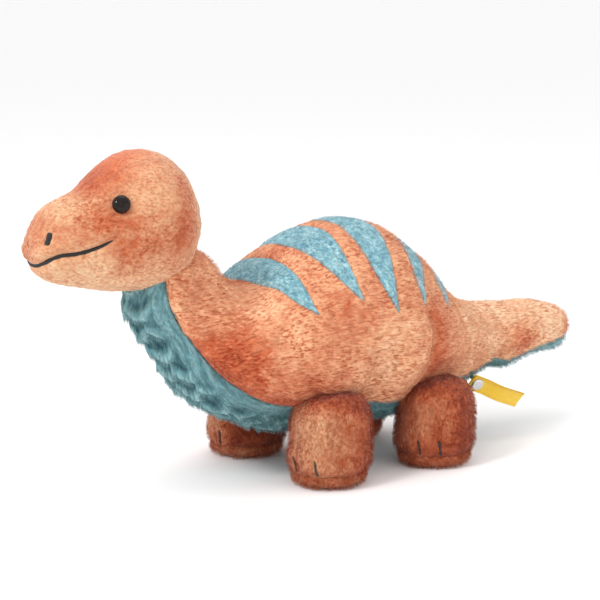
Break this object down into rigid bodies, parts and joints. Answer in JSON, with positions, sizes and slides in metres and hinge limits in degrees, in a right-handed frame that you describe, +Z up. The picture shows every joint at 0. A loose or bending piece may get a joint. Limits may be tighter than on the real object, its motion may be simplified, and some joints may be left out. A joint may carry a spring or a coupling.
{
  "type": "stuffed dinosaur",
  "caption": "Plush toy of a long-necked dinosaur on stumpy legs, with a humped striped back, a soft blue underside, domed eyes and a riveted ribbon tag.",
  "frame": {"origin": "on the ground under the toy's middle, halfway between the nose and the tail's tip", "axes": "+Z up, -Y towards the nose, +X towards the toy's own left side"},
  "size_m": [0.1136, 0.3337, 0.1636],
  "materials": {
    "rust_peach_plush": "short soft pile, rust roots and peach tips",
    "light_blue_velour": "very short dotted velour",
    "teal_long_pile": "longer pile pressed in scalloped rows",
    "stuffing": "white polyester fibre",
    "black_thread": "satin stitched thread",
    "eye_plastic": "polished",
    "washer_plastic": "moulded",
    "yellow_ribbon": "woven ribbon with a plain border",
    "silver_metal": "pressed and lightly brushed"
  },
  "bodies": {
    "trunk": {"back_stripe_1_left": "light_blue_velour", "back_stripe_1_right": "light_blue_velour", "back_stripe_2_left": "light_blue_velour", "back_stripe_2_right": "light_blue_velour", "back_stripe_3_left": "light_blue_velour", "back_stripe_3_right": "light_blue_velour", "back_stripe_4_left": "light_blue_velour", "back_stripe_4_right": "light_blue_velour", "back_stripe_5_left": "light_blue_velour", "back_stripe_5_right": "light_blue_velour", "belly_panel": "teal_long_pile", "flank_panel_left": "rust_peach_plush", "flank_panel_right": "rust_peach_plush", "trunk_stuffing": "stuffing"},
    "neck": {"bib_panel": "teal_long_pile", "neck_panel_left": "rust_peach_plush", "neck_panel_right": "rust_peach_plush", "neck_stuffing": "stuffing"},
    "head": {"chin_panel": "rust_peach_plush", "eye_left": "eye_plastic", "eye_right": "eye_plastic", "eye_washer_left": "washer_plastic", "eye_washer_right": "washer_plastic", "head_gusset": "rust_peach_plush", "head_side_left": "rust_peach_plush", "head_side_right": "rust_peach_plush", "head_stuffing": "stuffing", "mouth_stitch": "black_thread", "nostril_stitch_left": "black_thread", "nostril_stitch_right": "black_thread"},
    "leg_front_left": {"leg_sleeve_front_left": "rust_peach_plush", "leg_stuffing_front_left": "stuffing", "sole_pad_front_left": "rust_peach_plush", "toe_stitches_front_left": "black_thread"},
    "leg_front_right": {"leg_sleeve_front_right": "rust_peach_plush", "leg_stuffing_front_right": "stuffing", "sole_pad_front_right": "rust_peach_plush", "toe_stitches_front_right": "black_thread"},
    "leg_rear_left": {"leg_sleeve_rear_left": "rust_peach_plush", "leg_stuffing_rear_left": "stuffing", "sole_pad_rear_left": "rust_peach_plush", "toe_stitches_rear_left": "black_thread"},
    "leg_rear_right": {"leg_sleeve_rear_right": "rust_peach_plush", "leg_stuffing_rear_right": "stuffing", "sole_pad_rear_right": "rust_peach_plush", "toe_stitches_rear_right": "black_thread"},
    "tail_base": {"rivet_cap": "silver_metal", "rivet_post": "silver_metal", "tail_base_panel_left": "rust_peach_plush", "tail_base_panel_right": "rust_peach_plush", "tail_base_stuffing": "stuffing", "tail_base_underside": "teal_long_pile"},
    "tail_tip": {"tail_tip_panel_left": "rust_peach_plush", "tail_tip_panel_right": "rust_peach_plush", "tail_tip_stuffing": "stuffing", "tail_tip_underside": "teal_long_pile"},
    "tag": {"tag_ribbon": "yellow_ribbon"}
  },
  "joints": [
    {"name": "neck_nod", "type": "hinge", "parent": "trunk", "child": "neck", "pos_m": [0, -0.08, 0.082], "axis": [1, 0, 0], "range_deg": [-12, 12]},
    {"name": "head_turn", "type": "hinge", "parent": "neck", "child": "head", "pos_m": [0, -0.106, 0.12], "axis": [0, -0.4226, 0.9063], "range_deg": [-25, 25]},
    {"name": "leg_swing_front_left", "type": "hinge", "parent": "trunk", "child": "leg_front_left", "pos_m": [0.036, -0.025, 0.028], "axis": [1, 0, 0], "range_deg": [-15, 15]},
    {"name": "leg_swing_front_right", "type": "hinge", "parent": "trunk", "child": "leg_front_right", "pos_m": [-0.036, -0.025, 0.028], "axis": [1, 0, 0], "range_deg": [-15, 15]},
    {"name": "leg_swing_rear_left", "type": "hinge", "parent": "trunk", "child": "leg_rear_left", "pos_m": [0.036, 0.041, 0.028], "axis": [1, 0, 0], "range_deg": [-15, 15]},
    {"name": "leg_swing_rear_right", "type": "hinge", "parent": "trunk", "child": "leg_rear_right", "pos_m": [-0.036, 0.041, 0.028], "axis": [1, 0, 0], "range_deg": [-15, 15]},
    {"name": "tail_wag", "type": "hinge", "parent": "trunk", "child": "tail_base", "pos_m": [0, 0.092, 0.053], "axis": [0, 0, 1], "range_deg": [-20, 20]},
    {"name": "tail_lift", "type": "hinge", "parent": "tail_base", "child": "tail_tip", "pos_m": [0, 0.12, 0.0525], "axis": [1, 0, 0], "range_deg": [-20, 20]},
    {"name": "tag_swing", "type": "hinge", "parent": "tail_base", "child": "tag", "pos_m": [0.0136, 0.0855, 0.0336], "axis": [0.8754, -0.2346, -0.4226], "range_deg": [-30, 30]}
  ]
}
